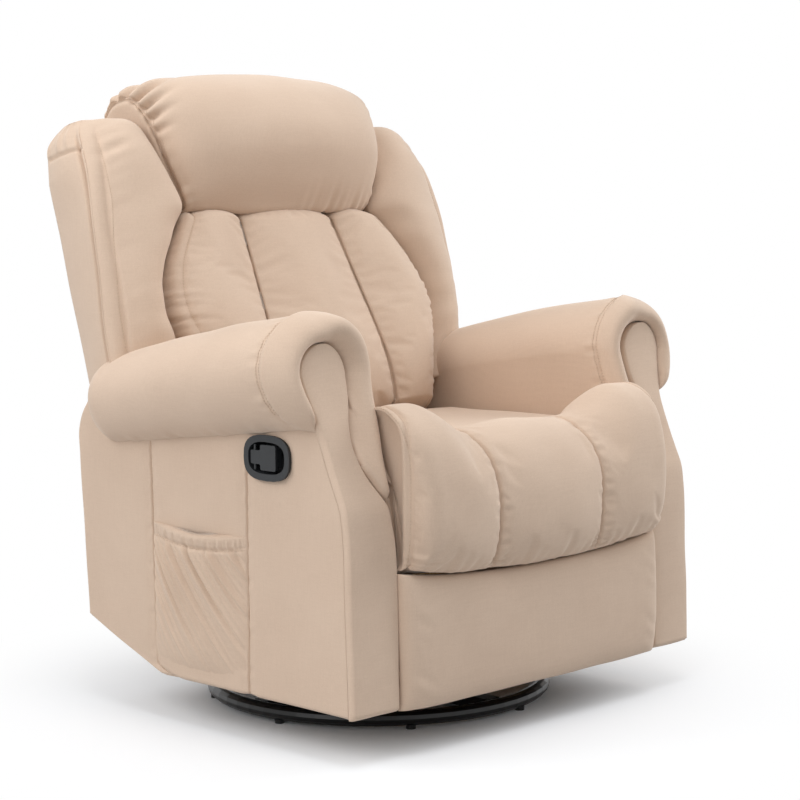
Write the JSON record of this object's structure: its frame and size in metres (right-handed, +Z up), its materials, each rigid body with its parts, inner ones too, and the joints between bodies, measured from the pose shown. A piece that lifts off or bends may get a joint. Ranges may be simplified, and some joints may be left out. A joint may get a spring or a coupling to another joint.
{
  "type": "swivel rocker recliner",
  "caption": "Upholstered recliner armchair with rolled arms, channelled back and seat, folding footrest, side pocket and pull lever, on a rocking and swivelling ring base.",
  "frame": {"origin": "on the floor, on the swivel axis, under the middle of the chair", "axes": "+Z up, -Y the way the sitter faces, +X to the sitter's left"},
  "size_m": [0.9178, 0.8648, 1.0676],
  "materials": {
    "beige_fabric": "matte brushed beige upholstery cloth",
    "black_steel": "gloss black powder coat",
    "zinc_steel": "zinc plated",
    "black_plastic": "moulded satin black",
    "pine_frame": "raw sawn pine and plywood"
  },
  "bodies": {
    "swivel_base": {"base_ring": "black_steel", "base_cross": "black_steel", "lower_race": "zinc_steel", "swivel_bolt": "zinc_steel"},
    "turntable": {"upper_race": "zinc_steel", "rocker_base": "black_steel", "rocker_spring_front_left": "zinc_steel", "rocker_spring_rear_left": "zinc_steel", "rocker_spring_front_right": "zinc_steel", "rocker_spring_rear_right": "zinc_steel"},
    "chassis": {"rocker_cam_left": "black_plastic", "rocker_cam_right": "black_plastic", "side_rail_left": "pine_frame", "side_rail_right": "pine_frame", "front_cross_rail": "pine_frame", "rear_stretcher": "pine_frame", "rear_panel": "beige_fabric", "mech_plate_left": "zinc_steel", "mech_plate_right": "zinc_steel", "seat_rail_front": "pine_frame", "seat_rail_rear": "pine_frame", "seat_rail_left": "pine_frame", "seat_rail_right": "pine_frame", "seat_spring_1": "zinc_steel", "seat_spring_2": "zinc_steel", "seat_spring_3": "zinc_steel", "seat_cushion": "beige_fabric", "front_bolster": "beige_fabric", "arm_side_left": "beige_fabric", "arm_side_right": "beige_fabric", "arm_roll_left": "beige_fabric", "arm_roll_right": "beige_fabric", "arm_facing_left": "beige_fabric", "arm_facing_right": "beige_fabric", "side_pocket": "beige_fabric", "handle_cup": "black_plastic"},
    "back": {"back_post_left": "pine_frame", "back_post_right": "pine_frame", "back_rail_lower": "pine_frame", "back_rail_upper": "pine_frame", "back_outer_panel": "beige_fabric", "back_bracket_left": "zinc_steel", "back_bracket_right": "zinc_steel", "back_cushion": "beige_fabric", "head_pillow": "beige_fabric", "back_wing_left": "beige_fabric", "back_wing_right": "beige_fabric"},
    "swing_links": {"swing_link_left": "zinc_steel", "swing_link_right": "zinc_steel", "torque_tube": "zinc_steel"},
    "thrust_links": {"thrust_link_left": "zinc_steel", "thrust_link_right": "zinc_steel"},
    "control_links": {"control_link_left": "zinc_steel", "control_link_right": "zinc_steel"},
    "footrest": {"footrest_bracket_left": "zinc_steel", "footrest_bracket_right": "zinc_steel", "footrest_board": "pine_frame", "footrest_pad": "beige_fabric"},
    "lever": {"release_lever": "black_plastic"}
  },
  "joints": [
    {"name": "swivel", "type": "hinge", "parent": "swivel_base", "child": "turntable", "pos_m": [0, 0, 0.0418], "axis": [0, 0, 1], "continuous": true},
    {"name": "rock", "type": "hinge", "parent": "turntable", "child": "chassis", "pos_m": [0, 0, 0.1947], "axis": [1, 0, 0], "range_deg": [-8, 6], "stiffness_Nm_per_rad": 700, "deforming": ["rocker_spring_front_left", "rocker_spring_rear_left", "rocker_spring_front_right", "rocker_spring_rear_right"]},
    {"name": "recline", "type": "hinge", "parent": "chassis", "child": "back", "pos_m": [0, 0.2035, 0.3385], "axis": [-1, 0, 0], "range_deg": [0, 40]},
    {"name": "footrest_swing", "type": "hinge", "parent": "chassis", "child": "swing_links", "pos_m": [0, -0.055, 0.29], "axis": [-1, 0, 0], "range_deg": [0, 90]},
    {"name": "thrust_pivot", "type": "hinge", "parent": "swing_links", "child": "thrust_links", "pos_m": [0, -0.00712, 0.1113], "axis": [-1, 0, 0], "range_deg": [-90, 0]},
    {"name": "control_pivot", "type": "hinge", "parent": "swing_links", "child": "control_links", "pos_m": [0, 0.02606, 0.0809], "axis": [-1, 0, 0], "range_deg": [-90, 0]},
    {"name": "footrest_pivot", "type": "hinge", "parent": "thrust_links", "child": "footrest", "pos_m": [0, -0.31, 0.2], "axis": [-1, 0, 0], "range_deg": [0, 90]},
    {"name": "lever_pull", "type": "hinge", "parent": "chassis", "child": "lever", "pos_m": [-0.4003, -0.1487, 0.4505], "axis": [0, 0, -1], "range_deg": [0, 28], "stiffness_Nm_per_rad": 0.4}
  ],
  "couplings": [
    {"joint": "thrust_pivot", "follows": "footrest_swing", "ratio": -1},
    {"joint": "control_pivot", "follows": "footrest_swing", "ratio": -1},
    {"joint": "footrest_pivot", "follows": "footrest_swing", "ratio": 1}
  ]
}
